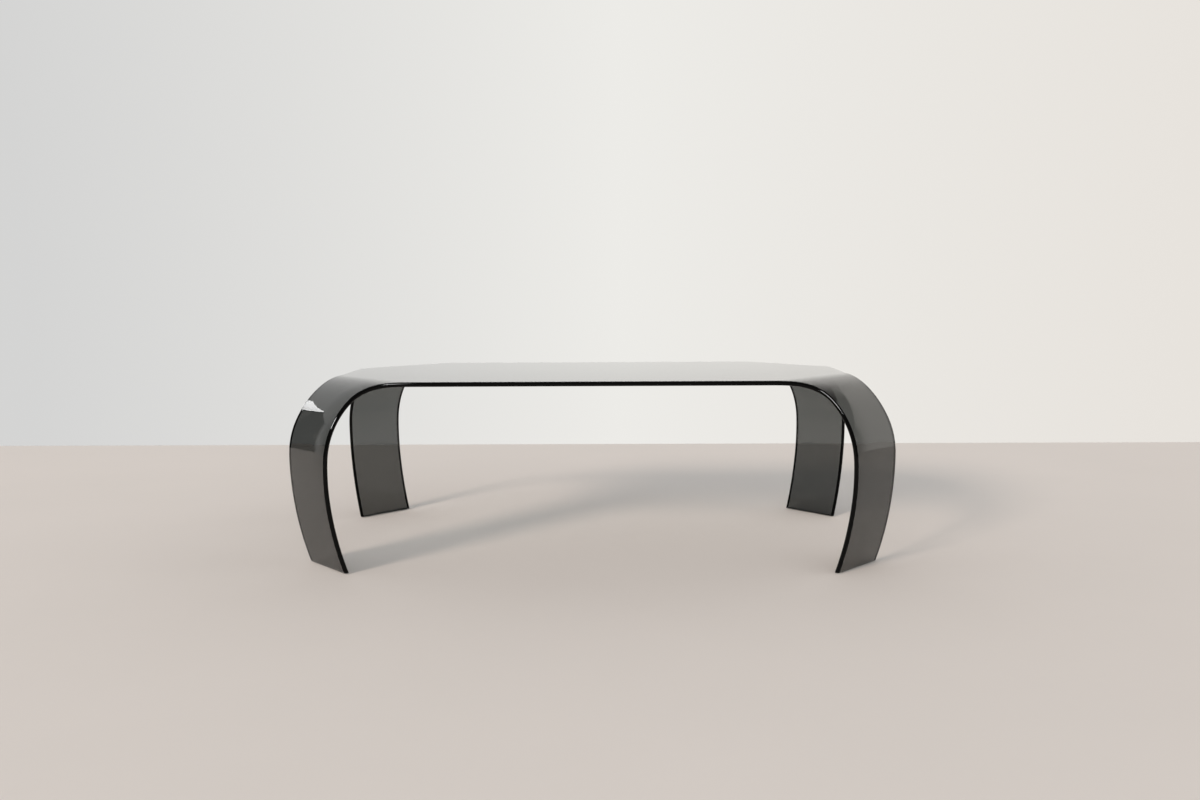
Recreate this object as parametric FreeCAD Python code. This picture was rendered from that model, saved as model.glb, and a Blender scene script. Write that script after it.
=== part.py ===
"""Waterfall coffee table: one sheet of smoked glass, bent down at its corners into four diagonal legs.

The sheet is drawn from its flat blank, a rectangle with a parallel strip running out through each corner.
Each strip is rolled over a quarter bend and then curls gently back in to the floor.
A leg is drawn in its own axes: X outwards along the leg, Y across it, Z up.
In the table's frame X runs along the table and the origin is on the floor, under the middle of the top.
"""
import FreeCAD, Part
import math
import os

# The sheet, in millimetres
TABLE_HEIGHT = 400.0     # floor to the top face
TOP_LENGTH = 1150.0      # between the two end edges
TOP_WIDTH = 556.0        # between the two long edges
GLASS = 10.0             # thickness of the sheet
EDGE_ARRIS = 2.9         # polished arris on both rims of the edge, near to a pencil round

# The legs
LEG_ANGLE = 45.0         # degrees between a leg and the long edges, seen from above
LEG_WIDTH = 148.0        # across a leg
BEND_SETBACK = 128.0     # from a corner of the rectangle back to the start of the bend
BEND_RADIUS = 158.0      # outer radius of the quarter bend
CURL_RADIUS = 700.0      # outer radius of the leg below the bend
LONG_FILLET = 115.0      # radius in the blank between a long edge and a leg
END_FILLET = 270.0       # radius in the blank between an end edge and a leg
FOOT_ARRIS = 1.0         # small arris along the ground end of a leg

# Clear floor dots under the ground end of each leg
PAD_DIAMETER = 6.4
PAD_HEIGHT = 1.9
PAD_INSET = 22.0         # from a leg's side to the middle of a dot

# How the bend is followed
BEND_SECTIONS = 25       # cross-sections that carry the sheet round the bend
SEAM = 0.02              # widest seam closed where the stretches of the sheet meet

Vec = FreeCAD.Vector
UP = Vec(0, 0, 1)
MIDDLE = Vec(0, 0, 0)
QUARTER_TURN = math.pi / 2
TURN = math.radians(LEG_ANGLE)


def in_leg_axes(x, y):
    """A point of the table's plan, in the axes of the leg at its +X +Y corner."""
    along = x * math.cos(TURN) + y * math.sin(TURN)
    across = y * math.cos(TURN) - x * math.sin(TURN)
    return Vec(along, across, 0)


# Places that follow from the sizes, in the leg's axes
CORNER = in_leg_axes(TOP_LENGTH / 2, TOP_WIDTH / 2)
BEND_START = CORNER.x - BEND_SETBACK
CURL_START = BEND_START + BEND_RADIUS * QUARTER_TURN
AXIS_HEIGHT = TABLE_HEIGHT - BEND_RADIUS
CURL_AXIS = BEND_START + BEND_RADIUS - CURL_RADIUS
FOOT_DROP = AXIS_HEIGHT - PAD_HEIGHT
LEG_END = math.asin((FOOT_DROP + GLASS) / CURL_RADIUS)


class Side:
    """One side of a leg in the blank: an edge of the rectangle, a round and the side of the strip."""

    def __init__(self, hand, slant, fillet):
        self.hand = hand          # +1 on the long edge's side of the leg, -1 on the end edge's side
        self.slant = slant        # angle between the edge of the rectangle and the leg
        straight = CURL_START - CORNER.x + LEG_WIDTH / 2 / math.tan(slant)
        self.fillet = min(fillet, straight / math.tan(slant / 2))

    def across(self, along, inset=0.0):
        """Distance across the leg to this side, or to the line a little inside it."""
        half = LEG_WIDTH / 2 - inset
        radius = self.fillet + inset
        slope = math.tan(self.slant)
        pull = inset / math.cos(self.slant)
        meeting = CORNER.x - (half + pull) / slope
        round_end = meeting + radius * math.tan(self.slant / 2)
        round_start = round_end - radius * math.sin(self.slant)
        if along <= round_start:
            reach = (CORNER.x - along) * slope - pull
        elif along < round_end:
            reach = half + radius - math.sqrt(radius ** 2 - (round_end - along) ** 2)
        else:
            reach = half
        return CORNER.y + self.hand * reach


LONG_SIDE = Side(1, TURN, LONG_FILLET)
END_SIDE = Side(-1, QUARTER_TURN - TURN, END_FILLET)


def rounded_outline(corners):
    """A closed wire through the corners, each given as a point and the radius that rounds it."""
    edges = []
    starts = []
    ends = []
    count = len(corners)
    for index, (corner, radius) in enumerate(corners):
        back = (corners[index - 1][0] - corner).normalize()
        ahead = (corners[(index + 1) % count][0] - corner).normalize()
        half = back.getAngle(ahead) / 2
        reach = radius / math.tan(half)
        starts.append(corner + back * reach)
        ends.append(corner + ahead * reach)
        if radius:
            inwards = (back + ahead).normalize()
            middle = corner + inwards * (radius / math.sin(half) - radius)
            edges.append(Part.Arc(starts[-1], middle, ends[-1]).toShape())
    for index, end in enumerate(ends):
        edges.append(Part.LineSegment(end, starts[(index + 1) % count]).toShape())
    return Part.Wire(Part.__sortEdges__(edges))


def crossing(point, direction, across):
    """Where a line through a point meets the line at a constant distance across the leg."""
    return point + direction * ((across - point.y) / direction.y)


def flat_quarter():
    """A quarter of the flat top, as far as the line where its leg starts to bend."""
    long_middle = in_leg_axes(0, TOP_WIDTH / 2)
    end_middle = in_leg_axes(TOP_LENGTH / 2, 0)
    long_strip = LONG_SIDE.across(CURL_START)
    end_strip = END_SIDE.across(CURL_START)
    blank_end = 2 * CURL_START
    outline = rounded_outline([
        (MIDDLE, 0),
        (end_middle, 0),
        (crossing(end_middle, in_leg_axes(0, 1), end_strip), END_SIDE.fillet),
        (Vec(blank_end, end_strip, 0), 0),
        (Vec(blank_end, long_strip, 0), 0),
        (crossing(long_middle, in_leg_axes(1, 0), long_strip), LONG_SIDE.fillet),
        (long_middle, 0),
    ])
    quarter = Part.Face(outline).extrude(UP * GLASS)
    leg = Part.makeBox(blank_end, 2 * blank_end, GLASS, Vec(BEND_START, -blank_end, 0))
    return quarter.cut(leg)


def mirrored(shape):
    """A shape of the +X +Y quarter and its mirror images in the other three."""
    half = [shape, shape.mirror(MIDDLE, Vec(1, 0, 0))]
    return half + [one.mirror(MIDDLE, Vec(0, 1, 0)) for one in half]


def on_bend_line(shape):
    """Whether a shape lies on one of the lines where the legs start to bend."""
    points = [vertex.Point for vertex in shape.Vertexes] + [shape.CenterOfMass]
    places = [in_leg_axes(abs(point.x), abs(point.y)).x for point in points]
    return all(abs(place - BEND_START) < SEAM for place in places)


def flat_top():
    """The flat top with its polished rims, cut square at the four bend lines."""
    quarter = flat_quarter()
    quarter.translate(UP * (TABLE_HEIGHT - GLASS))
    quarter.rotate(MIDDLE, UP, LEG_ANGLE)
    quarters = mirrored(quarter)
    plate = quarters[0].multiFuse(quarters[1:]).removeSplitter().Solids[0]
    level = [face for face in plate.Faces if abs(face.normalAt(0, 0).z) > math.cos(TURN)]
    rims = [edge for face in level for edge in face.Edges if not on_bend_line(edge)]
    return plate.makeChamfer(EDGE_ARRIS, rims)


def bent(along, across, depth):
    """A point of the bent leg, from its place in the blank and its depth below the outer skin."""
    angle = (along - BEND_START) / BEND_RADIUS
    radius = BEND_RADIUS - depth
    return Vec(BEND_START + radius * math.sin(angle), across, AXIS_HEIGHT + radius * math.cos(angle))


def section(along):
    """The outline of the sheet where it is cut across the leg: a flat bar with an arris on each rim."""
    points = []
    for side, depths in ((LONG_SIDE, (0, GLASS)), (END_SIDE, (GLASS, 0))):
        skin = side.across(along, EDGE_ARRIS)
        edge = side.across(along)
        first, last = depths
        step = math.copysign(EDGE_ARRIS, last - first)
        points.append(bent(along, skin, first))
        points.append(bent(along, edge, first + step))
        points.append(bent(along, edge, last - step))
        points.append(bent(along, skin, last))
    return Part.makePolygon(points + points[:1])


def leg_stretches():
    """The two stretches of a leg below the flat top, in its own axes: the quarter bend and the curl."""
    step = (CURL_START - BEND_START) / (BEND_SECTIONS - 1)
    sections = [section(BEND_START + step * index) for index in range(BEND_SECTIONS)]
    bend = Part.makeLoft(sections, True, False)
    curl_axis = Vec(CURL_AXIS, 0, AXIS_HEIGHT)
    curl = Part.Face(sections[-1]).revolve(curl_axis, Vec(0, 1, 0), math.degrees(LEG_END))
    return [bend, curl]


def glass_sheet():
    """The whole sheet: flat top and four legs in one piece, with the ends of the legs ground level."""
    stretches = []
    for stretch in leg_stretches():
        stretch.rotate(MIDDLE, UP, LEG_ANGLE)
        stretches += mirrored(stretch)
    sheet = flat_top().multiFuse(stretches, SEAM)
    floor = Part.makeBox(2 * TOP_LENGTH, 2 * TOP_LENGTH, TABLE_HEIGHT)
    floor.translate(Vec(-TOP_LENGTH, -TOP_LENGTH, PAD_HEIGHT - TABLE_HEIGHT))
    sheet = sheet.cut(floor).Solids[0]
    foot_rims = [edge for edge in sheet.Edges if edge.BoundBox.ZMax < PAD_HEIGHT + SEAM]
    return sheet.makeChamfer(FOOT_ARRIS, foot_rims).Solids[0]


def foot_middle():
    """Distance along the leg's plan to the middle of its ground end."""
    outer = math.sqrt(CURL_RADIUS ** 2 - FOOT_DROP ** 2)
    inner = math.sqrt((CURL_RADIUS - GLASS) ** 2 - FOOT_DROP ** 2)
    return CURL_AXIS + (outer + inner) / 2


def floor_pads():
    """The floor dots by name: one near each side of every leg, under its ground end."""
    strip = {"outer": END_SIDE, "inner": LONG_SIDE}
    names = ("back_right", "back_left", "front_right", "front_left")
    pads = {}
    for place, side in strip.items():
        across = side.across(CURL_START) - side.hand * PAD_INSET
        pad = Part.makeCylinder(PAD_DIAMETER / 2, PAD_HEIGHT, Vec(foot_middle(), across, 0))
        pad.rotate(MIDDLE, UP, LEG_ANGLE)
        for name, one in zip(names, mirrored(pad)):
            pads[f"pad_{name}_{place}"] = one
    return pads


os.makedirs("parts", exist_ok=True)
for node, shape in {"glass_sheet": glass_sheet(), **floor_pads()}.items():
    shape.exportStep(f"parts/{node}.step")
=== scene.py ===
"""Waterfall coffee table in bent smoked glass, dressed for a pale studio.

Everything is in metres, in the frame of the CAD model: X along the table, Y away from the viewer, Z up.
"""
import math

import bpy
from mathutils import Matrix, Vector


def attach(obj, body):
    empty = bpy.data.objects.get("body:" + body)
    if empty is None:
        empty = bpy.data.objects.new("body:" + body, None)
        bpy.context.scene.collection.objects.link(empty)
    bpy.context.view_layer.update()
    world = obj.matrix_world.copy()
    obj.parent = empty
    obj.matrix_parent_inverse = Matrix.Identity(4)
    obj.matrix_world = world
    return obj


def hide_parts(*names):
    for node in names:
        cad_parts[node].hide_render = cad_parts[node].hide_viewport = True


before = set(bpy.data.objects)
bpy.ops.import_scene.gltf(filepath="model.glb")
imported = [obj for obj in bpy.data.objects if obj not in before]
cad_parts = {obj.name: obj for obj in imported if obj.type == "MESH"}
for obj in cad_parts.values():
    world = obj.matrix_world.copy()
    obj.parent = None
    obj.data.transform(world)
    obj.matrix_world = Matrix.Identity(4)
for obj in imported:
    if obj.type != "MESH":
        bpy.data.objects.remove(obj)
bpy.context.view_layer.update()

# The sheet of glass, as in the CAD model
TABLE_HEIGHT = 0.400
TOP_LENGTH = 1.150
TOP_WIDTH = 0.556
GLASS = 0.010
LEG_ANGLE = math.pi / 4  # between a leg and the long edges, seen from above
LEG_WIDTH = 0.148
BEND_SETBACK = 0.1283    # 0.3 mm more than in the CAD model, because the eased bend reaches further
BEND_RADIUS = 0.158
CURL_RADIUS = 0.700
LONG_FILLET = 0.115
END_FILLET = 0.270
PAD_HEIGHT = 0.0019

# Polished rims
PENCIL_ROUND = 0.00497
PENCIL_STEPS = 7
FOOT_ROUND = 0.0010
FOOT_STEPS = 2
ROUND_PROFILE = 0.5
SHARP_RIM = math.radians(50)    # turn between two faces from which their edge is a rim

# Rows of faces down a leg
FLAT_ROWS = 8
BEND_ROWS = 44
CURL_ROWS = 26
FLAT_LENGTH = 0.045      # of the strip before its bend
SPARE_LENGTH = 0.025     # of the strip past the floor, where it is cut off
BEND_EASE = 0.032        # length over which the sheet takes up each bend
PROFILE_STEP = 0.0005

# The sheet droops a little round the bend, along the side of a leg that leads to a long edge
LIP_DROP = 0.006
LIP_WIDTH = 0.052
LIP_LENGTH = 1.35        # in lengths of the bend
LIP_COLUMNS = (LIP_WIDTH, 0.041, 0.031, 0.022, 0.013, 0.0)

# How near points are merged, and how near a plane they count as lying on it
MERGE = 1e-5
TOUCH = 1e-6

# The sheet's material slots after the glass itself
EDGE_SLOT = 1
END_SLOT = 2

# Finishes
CLEAR = (1, 1, 1, 1)
GLASS_IOR = 1.52
GLASS_TINT = (0.0, 0.015, 0.0, 1)
TINT_DENSITY = 206.0     # lets about 13 % of the light through the sheet
WIPE_STRETCH = (3.0, 14.0, 9.0)
WIPE_TURN = (0.0, 0.0, 0.6)
DUST = (0.6, 0.6, 0.58, 1)
EDGE_BLACK = (0.0015, 0.0016, 0.0015, 1)
EDGE_IOR = 1.2           # less gloss than glass has
EDGE_ROUGHNESS = 0.015
EDGE_GRIND = 0.035
END_TONES = ((0.06, 0.062, 0.06, 1), (0.14, 0.145, 0.14, 1))
END_IOR = 1.5
END_ROUGHNESS = 0.45
END_GRAIN = 0.2
DOT_CLEAR = (0.9, 0.92, 0.92, 1)
DOT_IOR = 1.45
DOT_ROUGHNESS = 0.15
DOT_CLOUD = 0.2
FLOOR_TONES = ((0.72, 0.69, 0.66, 1), (0.76, 0.725, 0.695, 1))

# The span of the noise that makes smears and dust, and the roughness or share of dust at its two ends
SMEAR_ROUGHNESS = (0.45, 0.75, 0.0, 0.035)
DUST_SHARE = (0.52, 0.8, 0.0, 0.03)

# The studio: a floor that ends a little way behind the table, and the backdrop's tones from left to right
FLOOR_END = 1.46
FLOOR_FRONT = -30.0
FLOOR_WIDTH = 60.0
BACKDROP_TONES = (
    (0.25, (0.66, 0.66, 0.655, 1)), (0.5, (0.843, 0.834, 0.803, 1)), (0.75, (0.80, 0.765, 0.72, 1)))
FLOOR_GLOW = 2.0         # level at the horizon of the glow that lights the floor

# How the polish sees the backdrop: spans of headings, each with a level or a share of dimming at its ends
RIGHT_LIFT = (0.5, 0.9, 1.0, 1.3)
FRONT_DIM = (-0.06, 0.1, 0.35, 1.0)
LEFT_DIM = (-0.52, -0.62, 0.0, 0.93)
LOW_PART = (0.43, 0.45, 1.0, 0.0)
BACK_PART = (0.12, 0.2, 0.0, 1.0)
CORNER_DIM = (-1.54, -1.45, 0.0, 0.75)
RIGHT_PART = (0.31, 0.6, 0.0, 1.0)
CORNER_SLOPE_ACROSS = 2.2
CORNER_SLOPE_AWAY = 1.4
BACK_LIFT = 0.25

# The key light, at the front left and far away, so that it lights the floor evenly
KEY_PLACE = (-166.4, -192.0, 112.2)
KEY_TARGET = (0, 0, 0.2)
KEY_SIZE = (54.4, 54.4)
KEY_RADIANCE = 44.0
KEY_COLOUR = (1, 0.83, 0.71)

# Panes of light, by where a front bend sees them: degrees round from +Y, up, wide and tall, then radiance
PANE_COLOUR = (1, 1, 1)
RIGHT_BEND = Vector((0.50, -0.30, 0.37))
FRONT_PANE_DISTANCE = 20.0
FRONT_PANE = (-145, 38, 24, 12, 90.0)
LEFT_BEND = Vector((-0.58, -0.26, 0.345))
LEFT_PANE_DISTANCE = 4.0
LEFT_PANE = (-54.85, 25.97, 8.95, 2.9, 5.0)
LEFT_PANE_TURN = -11.5

# The photograph's viewpoint: angles in radians, lens and sensor in millimetres
EYE = Vector((0.0624, -2.4071, 0.5978))
EYE_YAW = -0.0194
EYE_PITCH = 0.1105
EYE_ROLL = -0.0061
EYE_LENS = 30.79
EYE_SENSOR = 36.0
EYE_NEAREST = 0.05

QUARTER_TURN = math.pi / 2
DIAGONAL = math.cos(LEG_ANGLE)
LEG_ALONG = Vector((DIAGONAL, DIAGONAL, 0))
LEG_ACROSS = Vector((-DIAGONAL, DIAGONAL, 0))
UP = Vector((0, 0, 1))

# Places down the diagonal of a leg, measured on the flat blank
CORNER = Vector((TOP_LENGTH / 2, TOP_WIDTH / 2, 0))
CORNER_ALONG = CORNER.dot(LEG_ALONG)
CORNER_ACROSS = CORNER.dot(LEG_ACROSS)
BEND_START = CORNER_ALONG - BEND_SETBACK
CURL_START = BEND_START + BEND_RADIUS * QUARTER_TURN
AXIS_HEIGHT = TABLE_HEIGHT - BEND_RADIUS
STRIP_START = BEND_START - FLAT_LENGTH
STRIP_END = CURL_START + CURL_RADIUS * math.asin(AXIS_HEIGHT / CURL_RADIUS) + SPARE_LENGTH


def start_piece(name):
    """Names the primitive that was just added and returns it."""
    piece = bpy.context.object
    piece.name = name
    piece.data.name = name
    return piece


def deselect_all():
    """Leaves no object selected."""
    bpy.ops.object.select_all(action="DESELECT")


def apply_modifier(piece, kind, **settings):
    """Adds one modifier to a piece, sets it and applies it."""
    modifier = piece.modifiers.new(kind.lower(), kind)
    for name, value in settings.items():
        setattr(modifier, name, value)
    bpy.context.view_layer.objects.active = piece
    bpy.ops.object.modifier_apply(modifier=modifier.name)


def leg_side(along, hand, fillet):
    """Distance across a leg to one side of the blank: edge of the top, round, then straight strip."""
    half = LEG_WIDTH / 2
    round_end = CORNER_ALONG - half + fillet * math.tan(LEG_ANGLE / 2)
    round_start = round_end - fillet * DIAGONAL
    if along <= round_start:
        reach = CORNER_ALONG - along
    elif along < round_end:
        reach = half + fillet - math.sqrt(fillet ** 2 - (round_end - along) ** 2)
    else:
        reach = half
    return CORNER_ACROSS + hand * reach


def row_place(row):
    """How far down the blank a row of the leg lies."""
    if row <= FLAT_ROWS:
        return STRIP_START + (BEND_START - STRIP_START) * row / FLAT_ROWS
    row -= FLAT_ROWS
    if row <= BEND_ROWS:
        return BEND_START + (CURL_START - BEND_START) * row / BEND_ROWS
    row -= BEND_ROWS
    return CURL_START + (STRIP_END - CURL_START) * row / CURL_ROWS


def eased(along, place):
    """Share of a bend that the sheet has taken up: none before its place, all of it after."""
    return min(max((along - place) / BEND_EASE + 0.5, 0), 1)


def leg_profile():
    """Reach, height and slope of the outer skin, step by step down the blank from the strip's start."""
    profile = []
    along, angle, reach, height = STRIP_START, 0.0, STRIP_START, TABLE_HEIGHT
    while along < STRIP_END + PROFILE_STEP:
        profile.append(Vector((reach, height, angle)))
        bend = eased(along, BEND_START) / BEND_RADIUS
        curl = eased(along, CURL_START) * (1 / CURL_RADIUS - 1 / BEND_RADIUS)
        angle += (bend + curl) * PROFILE_STEP
        reach += math.cos(angle) * PROFILE_STEP
        height -= math.sin(angle) * PROFILE_STEP
        along += PROFILE_STEP
    return profile


def droop(along, inside):
    """How far the sheet hangs below its bend, at a distance inside the long side of a leg."""
    down = (along - BEND_START) / (CURL_START - BEND_START) / LIP_LENGTH
    swell = math.sin(math.pi * min(max(down, 0), 1)) ** 2
    return LIP_DROP * swell * (1 - inside / LIP_WIDTH) ** 2


def rolled(profile, along, across, depth):
    """Where a place on the blank comes to lie once the leg is bent, at a depth below the outer skin."""
    step = (along - STRIP_START) / PROFILE_STEP
    index = min(int(step), len(profile) - 2)
    reach, height, angle = profile[index].lerp(profile[index + 1], step - index)
    reach -= depth * math.sin(angle)
    height -= depth * math.cos(angle)
    return LEG_ALONG * reach + LEG_ACROSS * across + UP * height


def column_place(along, column):
    """Distance across a leg to a column of the strip, and the sheet's droop there."""
    if column == 0:
        return leg_side(along, -1, END_FILLET), 0.0
    inside = LIP_COLUMNS[column - 1]
    return leg_side(along, 1, LONG_FILLET) - inside, droop(along, inside)


def bent_leg():
    """One leg as a single skin: a strip of rows, drawn to the blank's outline and rolled down."""
    rows = FLAT_ROWS + BEND_ROWS + CURL_ROWS
    columns = len(LIP_COLUMNS)
    bpy.ops.mesh.primitive_grid_add(x_subdivisions=rows, y_subdivisions=columns, size=1)
    leg = start_piece("bent_leg")
    profile = leg_profile()
    for vertex in leg.data.vertices:
        along = row_place(round((vertex.co.x + 0.5) * rows))
        across, depth = column_place(along, round((vertex.co.y + 0.5) * columns))
        vertex.co = rolled(profile, along, across, depth)
    return leg


def quarter_top():
    """A quarter of the flat top as a single skin, cut off where the leg's strip begins."""
    bpy.ops.mesh.primitive_plane_add(size=1, location=(TOP_LENGTH / 4, TOP_WIDTH / 4, TABLE_HEIGHT))
    top = start_piece("quarter_top")
    top.scale = (TOP_LENGTH / 2, TOP_WIDTH / 2, 1)
    bpy.ops.object.transform_apply(location=True, rotation=True, scale=True)
    bpy.ops.object.mode_set(mode="EDIT")
    bpy.ops.mesh.select_all(action="SELECT")
    cut = LEG_ALONG * STRIP_START + UP * TABLE_HEIGHT
    bpy.ops.mesh.bisect(plane_co=cut, plane_no=LEG_ALONG, clear_outer=True)
    bpy.ops.mesh.subdivide(number_cuts=len(LIP_COLUMNS) - 1, ngon=True)
    bpy.ops.object.mode_set(mode="OBJECT")
    on_cut = [vertex for vertex in top.data.vertices if abs(vertex.co.dot(LEG_ALONG) - STRIP_START) < TOUCH]
    on_cut.sort(key=lambda vertex: vertex.co.dot(LEG_ACROSS))
    for column, vertex in enumerate(on_cut):
        across = column_place(STRIP_START, column)[0]
        vertex.co = cut + LEG_ACROSS * across
    return top


def bent_skin():
    """The whole sheet as a single skin: a quarter of the top and its leg, mirrored, with faces outwards."""
    deselect_all()
    top = quarter_top()
    leg = bent_leg()
    for piece in (top, leg):
        piece.select_set(True)
    bpy.ops.object.join()
    sheet = start_piece("bent_glass")
    apply_modifier(sheet, "WELD", merge_threshold=MERGE)
    apply_modifier(sheet, "MIRROR", use_axis=(True, True, False), merge_threshold=MERGE)
    bpy.ops.object.mode_set(mode="EDIT")
    bpy.ops.mesh.select_all(action="SELECT")
    bpy.ops.mesh.normals_make_consistent(inside=False)
    bpy.ops.object.mode_set(mode="OBJECT")
    return sheet


def polish_rims():
    """Rounds the sharp rims of the sheet's edge."""
    bpy.ops.object.mode_set(mode="EDIT")
    bpy.ops.mesh.select_mode(type="EDGE")
    bpy.ops.mesh.select_all(action="DESELECT")
    bpy.ops.mesh.edges_select_sharp(sharpness=SHARP_RIM)
    bpy.ops.mesh.bevel(
        offset=PENCIL_ROUND, segments=PENCIL_STEPS, profile=ROUND_PROFILE, affect="EDGES", material=EDGE_SLOT)
    bpy.ops.object.mode_set(mode="OBJECT")


def grind_feet(sheet):
    """Cuts the legs off level on top of the floor dots, and eases the rims of the cut."""
    bpy.ops.object.mode_set(mode="EDIT")
    bpy.ops.mesh.select_all(action="SELECT")
    bpy.ops.mesh.bisect(plane_co=UP * PAD_HEIGHT, plane_no=UP, use_fill=True, clear_inner=True)
    bpy.ops.mesh.select_all(action="DESELECT")
    bpy.ops.object.mode_set(mode="OBJECT")
    for edge in sheet.data.edges:
        ends = [sheet.data.vertices[index].co.z for index in edge.vertices]
        edge.select = max(ends) < PAD_HEIGHT + TOUCH
    bpy.ops.object.mode_set(mode="EDIT")
    bpy.ops.mesh.bevel(
        offset=FOOT_ROUND, segments=FOOT_STEPS, profile=ROUND_PROFILE, affect="EDGES", material=END_SLOT)
    bpy.ops.object.mode_set(mode="OBJECT")
    for face in sheet.data.polygons:
        if face.center.z < PAD_HEIGHT + TOUCH:
            face.material_index = END_SLOT


def glass_sheet():
    """The whole bent sheet, with its thickness, its pencil-polished edge and its ground feet."""
    sheet = bent_skin()
    dress(sheet, smoked_glass(), polished_edge(), ground_end())
    apply_modifier(
        sheet, "SOLIDIFY", thickness=GLASS, offset=-1, use_even_offset=True, use_quality_normals=True,
        material_offset_rim=EDGE_SLOT)
    polish_rims()
    grind_feet(sheet)
    bpy.ops.object.shade_smooth()
    apply_modifier(sheet, "WEIGHTED_NORMAL", mode="FACE_AREA", weight=50, keep_sharp=False)
    return sheet


class Wire:
    """An output socket of a material's nodes, so that shader maths reads as plain expressions."""

    def __init__(self, tree, socket=None):
        self.tree = tree
        self.socket = socket

    def node(self, kind, settings=None, output=0, **inputs):
        """Adds a node, with its settings and the values or wires of its sockets, and gives one output.

        A socket goes by its name, with _ for a space, or by i and its number.
        """
        node = self.tree.nodes.new(kind)
        for name, value in (settings or {}).items():
            if name == "stops":
                self.set_stops(node.color_ramp.elements, value)
            else:
                setattr(node, name, value)
        for name, value in inputs.items():
            key = int(name[1:]) if name[1:].isdigit() else name.replace("_", " ")
            if isinstance(value, Wire):
                self.tree.links.new(value.socket, node.inputs[key])
            else:
                node.inputs[key].default_value = value
        return Wire(self.tree, node.outputs[output]) if len(node.outputs) else node

    @staticmethod
    def set_stops(elements, stops):
        """Gives a colour ramp its stops, each a place and a colour."""
        while len(elements) < len(stops):
            elements.new(0.5)
        for element, (place, colour) in zip(elements, stops):
            element.position = place
            element.color = colour

    def ranged(self, low, high, first, last):
        """What goes from first to last while this value goes from low to high, and no further."""
        return self.node(
            "ShaderNodeMapRange", Value=self, From_Min=low, From_Max=high, To_Min=first, To_Max=last)

    def mixed(self, first, last):
        """A colour between two colours, by this value."""
        return self.node("ShaderNodeMix", {"data_type": "RGBA"}, output=2, i0=self, i6=first, i7=last)

    def maths(self, operation, first, second):
        """One step of arithmetic on two values or wires."""
        return self.node("ShaderNodeMath", {"operation": operation}, i0=first, i1=second)

    def __add__(self, other):
        return self.maths("ADD", self, other)

    __radd__ = __add__

    def __sub__(self, other):
        return self.maths("SUBTRACT", self, other)

    def __rsub__(self, other):
        return self.maths("SUBTRACT", other, self)

    def __mul__(self, other):
        return self.maths("MULTIPLY", self, other)

    __rmul__ = __mul__


def new_material(name):
    """An empty material and a wire that adds nodes to it."""
    material = bpy.data.materials.new(name)
    material.use_nodes = True
    material.node_tree.nodes.clear()
    return material, Wire(material.node_tree)


def smoked_glass():
    """Grey glass, tinted through its thickness, with a slight ripple from the kiln, wiped smears and dust."""
    material, wire = new_material("smoked_glass")
    place = wire.node("ShaderNodeTexCoord", output="Object")
    ripple = wire.node("ShaderNodeTexNoise", Vector=place, Scale=5.0, Detail=1.0, Roughness=0.4)
    waviness = wire.node("ShaderNodeBump", Strength=0.05, Distance=0.002, Height=ripple)
    wiped = wire.node("ShaderNodeMapping", Vector=place, Scale=WIPE_STRETCH, Rotation=WIPE_TURN)
    smear = wire.node("ShaderNodeTexNoise", Vector=wiped, Scale=2.2, Detail=5.0, Roughness=0.6)
    body = wire.node(
        "ShaderNodeBsdfPrincipled", Base_Color=CLEAR, Roughness=smear.ranged(*SMEAR_ROUGHNESS),
        Normal=waviness, IOR=GLASS_IOR, Transmission_Weight=1.0)
    film = wire.node("ShaderNodeTexNoise", Vector=wiped, Scale=3.0, Detail=6.0, Roughness=0.65)
    dust = wire.node("ShaderNodeBsdfDiffuse", Color=DUST)
    body = wire.node("ShaderNodeMixShader", i0=film.ranged(*DUST_SHARE), i1=body, i2=dust)
    tint = wire.node("ShaderNodeVolumeAbsorption", Color=GLASS_TINT, Density=TINT_DENSITY)
    wire.node("ShaderNodeOutputMaterial", Surface=body, Volume=tint)
    return material


def polished_edge():
    """The sheet's polished edge, black because light has the whole width of the tinted glass to cross."""
    material, wire = new_material("polished_edge")
    place = wire.node("ShaderNodeTexCoord", output="Object")
    grind = wire.node("ShaderNodeTexNoise", Vector=place, Scale=160.0, Detail=3.0, Roughness=0.6)
    body = wire.node(
        "ShaderNodeBsdfPrincipled", Base_Color=EDGE_BLACK, Roughness=EDGE_ROUGHNESS + grind * EDGE_GRIND,
        IOR=EDGE_IOR)
    wire.node("ShaderNodeOutputMaterial", Surface=body)
    return material


def ground_end():
    """The ends of the legs, ground level and left dull."""
    material, wire = new_material("ground_end")
    place = wire.node("ShaderNodeTexCoord", output="Object")
    grain = wire.node("ShaderNodeTexNoise", Vector=place, Scale=700.0, Detail=3.0, Roughness=0.7)
    body = wire.node(
        "ShaderNodeBsdfPrincipled", Base_Color=grain.mixed(*END_TONES),
        Roughness=END_ROUGHNESS + grain * END_GRAIN, IOR=END_IOR)
    wire.node("ShaderNodeOutputMaterial", Surface=body)
    return material


def clear_dot():
    """Clear soft plastic of the floor dots, a little cloudy."""
    material, wire = new_material("clear_dot")
    place = wire.node("ShaderNodeTexCoord", output="Object")
    cloud = wire.node("ShaderNodeTexNoise", Vector=place, Scale=900.0, Detail=2.0)
    body = wire.node(
        "ShaderNodeBsdfPrincipled", Base_Color=DOT_CLEAR, Roughness=DOT_ROUGHNESS + cloud * DOT_CLOUD,
        IOR=DOT_IOR, Transmission_Weight=0.8)
    wire.node("ShaderNodeOutputMaterial", Surface=body)
    return material


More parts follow.
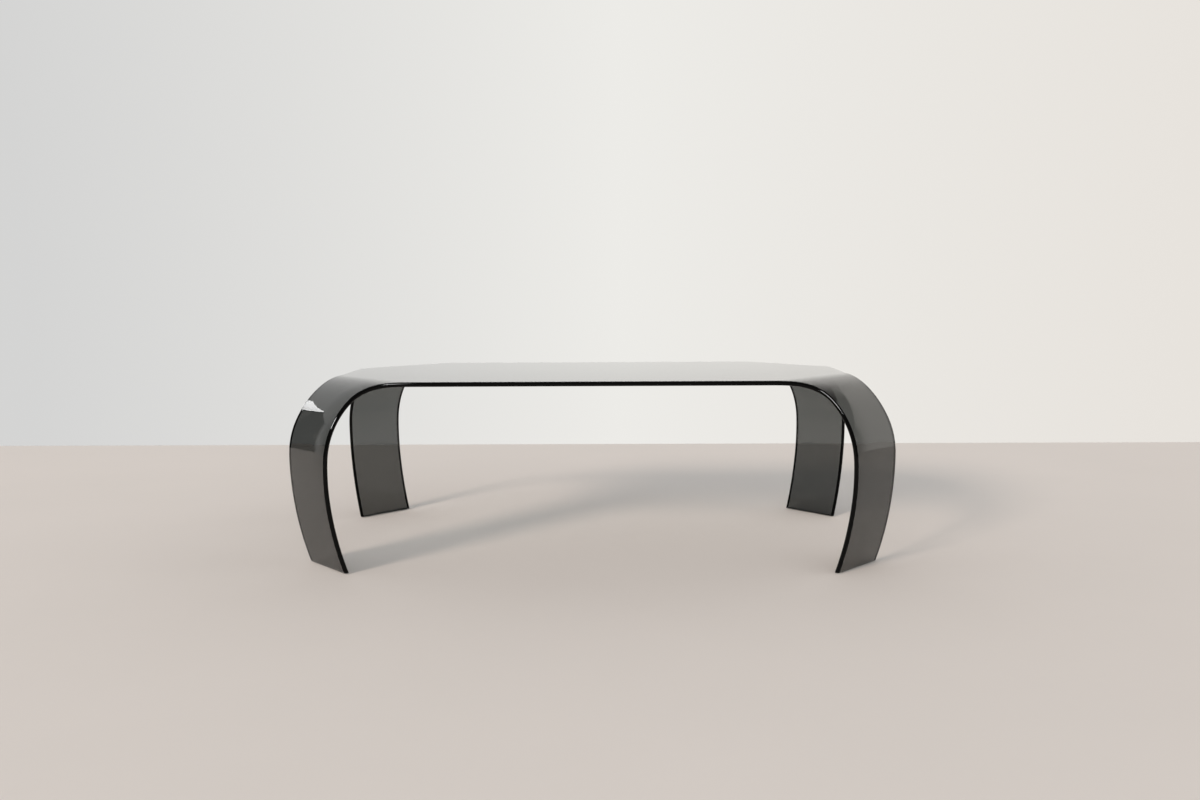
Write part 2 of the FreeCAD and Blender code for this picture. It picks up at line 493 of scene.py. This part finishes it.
def pale_ground():
    """Matt pale paint for the floor, with a faint mottle."""
    material, wire = new_material("pale_ground")
    place = wire.node("ShaderNodeTexCoord", output="Object")
    mottle = wire.node("ShaderNodeTexNoise", Vector=place, Scale=1.6, Detail=6.0, Roughness=0.6)
    body = wire.node(
        "ShaderNodeBsdfPrincipled", Base_Color=mottle.mixed(*FLOOR_TONES), Roughness=0.85,
        Specular_IOR_Level=0.0)
    wire.node("ShaderNodeOutputMaterial", Surface=body)
    return material


def dress(piece, *materials):
    """Gives a piece its materials."""
    piece.data.materials.clear()
    for material in materials:
        piece.data.materials.append(material)


def studio():
    """A pale floor that ends in a straight line against the backdrop."""
    deselect_all()
    bpy.ops.mesh.primitive_plane_add(size=1, location=(0, (FLOOR_FRONT + FLOOR_END) / 2, 0))
    floor = start_piece("floor")
    floor.scale = (FLOOR_WIDTH, FLOOR_END - FLOOR_FRONT, 1)
    bpy.ops.object.transform_apply(location=True, rotation=True, scale=True)
    dress(floor, pale_ground())


def turned(angle, axis):
    """A turn about one axis."""
    return Matrix.Rotation(angle, 4, axis)


def soft_light(name, place, target, size, radiance, colour, turn=0.0):
    """A rectangular soft light aimed at a point, as bright as it would look in a mirror."""
    lamp = bpy.data.lights.new(name, "AREA")
    lamp.shape = "RECTANGLE"
    lamp.size, lamp.size_y = size
    lamp.energy = radiance * math.pi * size[0] * size[1]
    lamp.color = colour
    holder = bpy.data.objects.new(name, lamp)
    bpy.context.scene.collection.objects.link(holder)
    holder.location = place
    aim = (Vector(target) - Vector(place)).to_track_quat("-Z", "Y").to_matrix().to_4x4()
    holder.rotation_euler = (aim @ turned(turn, "Z")).to_euler()
    holder.visible_camera = False
    return holder


def pane_of_light(name, bend, distance, around, up, wide, tall, radiance, turn=0.0):
    """A pane of light that only shows in the polish, placed by where a bend of the glass sees it."""
    around, up = math.radians(around), math.radians(up)
    heading = Vector((math.sin(around) * math.cos(up), math.cos(around) * math.cos(up), math.sin(up)))
    size = [2 * distance * math.tan(math.radians(angle / 2)) for angle in (wide, tall)]
    place = bend + heading * distance
    pane = soft_light(name, place, bend, size, radiance, PANE_COLOUR, math.radians(turn))
    pane.visible_diffuse = False


def lights():
    """The key light, which stays out of the polish, and the panes that the bends mirror."""
    key = soft_light("key", KEY_PLACE, KEY_TARGET, KEY_SIZE, KEY_RADIANCE, KEY_COLOUR)
    key.visible_glossy = False
    pane_of_light("front_pane", RIGHT_BEND, FRONT_PANE_DISTANCE, *FRONT_PANE)
    pane_of_light("left_pane", LEFT_BEND, LEFT_PANE_DISTANCE, *LEFT_PANE, turn=LEFT_PANE_TURN)


def polish_level(across, away, up):
    """How bright the backdrop is in the polish: dimmer in front, with a dark side and a dark corner."""
    light = (1 + BACK_LIFT * away) * (across.ranged(*RIGHT_LIFT) * away.ranged(*FRONT_DIM))
    dark_side = across.ranged(*LEFT_DIM) * up.ranged(*LOW_PART) * away.ranged(*BACK_PART)
    corner = up - CORNER_SLOPE_ACROSS * across - CORNER_SLOPE_AWAY * away
    dark_corner = corner.ranged(*CORNER_DIM) * across.ranged(*RIGHT_PART)
    return light * (1 - dark_side) * (1 - dark_corner)


def backdrop():
    """The pale backdrop that the eye and the glass see, and a low glow that lights the floor."""
    world = bpy.data.worlds.new("backdrop")
    bpy.context.scene.world = world
    world.use_nodes = True
    world.node_tree.nodes.clear()
    wire = Wire(world.node_tree)
    seen = wire.node("ShaderNodeLightPath", output="Is Camera Ray")
    gloss = wire.node("ShaderNodeLightPath", output="Is Glossy Ray")
    through = wire.node("ShaderNodeLightPath", output="Is Transmission Ray")
    heading = wire.node("ShaderNodeTexCoord", output="Generated")
    across = wire.node("ShaderNodeSeparateXYZ", output="X", Vector=heading)
    away = wire.node("ShaderNodeSeparateXYZ", output="Y", Vector=heading)
    up = wire.node("ShaderNodeSeparateXYZ", output="Z", Vector=heading)

    paper = wire.node("ShaderNodeValToRGB", {"stops": BACKDROP_TONES}, Fac=across * 0.5 + 0.5)
    level = FLOOR_GLOW - FLOOR_GLOW * up
    low_glow = wire.node("ShaderNodeCombineColor", Red=level, Green=level, Blue=level)
    tone = (seen + gloss + through).mixed(low_glow, paper)
    strength = 1 + (gloss - through) * (polish_level(across, away, up) - 1)
    glow = wire.node("ShaderNodeBackground", Color=tone, Strength=strength)
    wire.node("ShaderNodeOutputWorld", Surface=glow)


def camera():
    """The photograph's viewpoint."""
    data = bpy.data.cameras.new("viewpoint")
    data.sensor_width = EYE_SENSOR
    data.lens = EYE_LENS
    data.clip_start = EYE_NEAREST
    holder = bpy.data.objects.new("viewpoint", data)
    bpy.context.scene.collection.objects.link(holder)
    turn = turned(-EYE_YAW, "Z") @ turned(QUARTER_TURN - EYE_PITCH, "X") @ turned(EYE_ROLL, "Z")
    holder.matrix_world = Matrix.Translation(EYE) @ turn
    bpy.context.scene.camera = holder


sheet = glass_sheet()
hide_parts("glass_sheet")
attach(sheet, "root")
dot_material = clear_dot()
for node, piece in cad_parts.items():
    if node.startswith("pad_"):
        dress(piece, dot_material)

studio()
backdrop()
lights()
camera()
bpy.context.scene.view_settings.view_transform = "Standard"
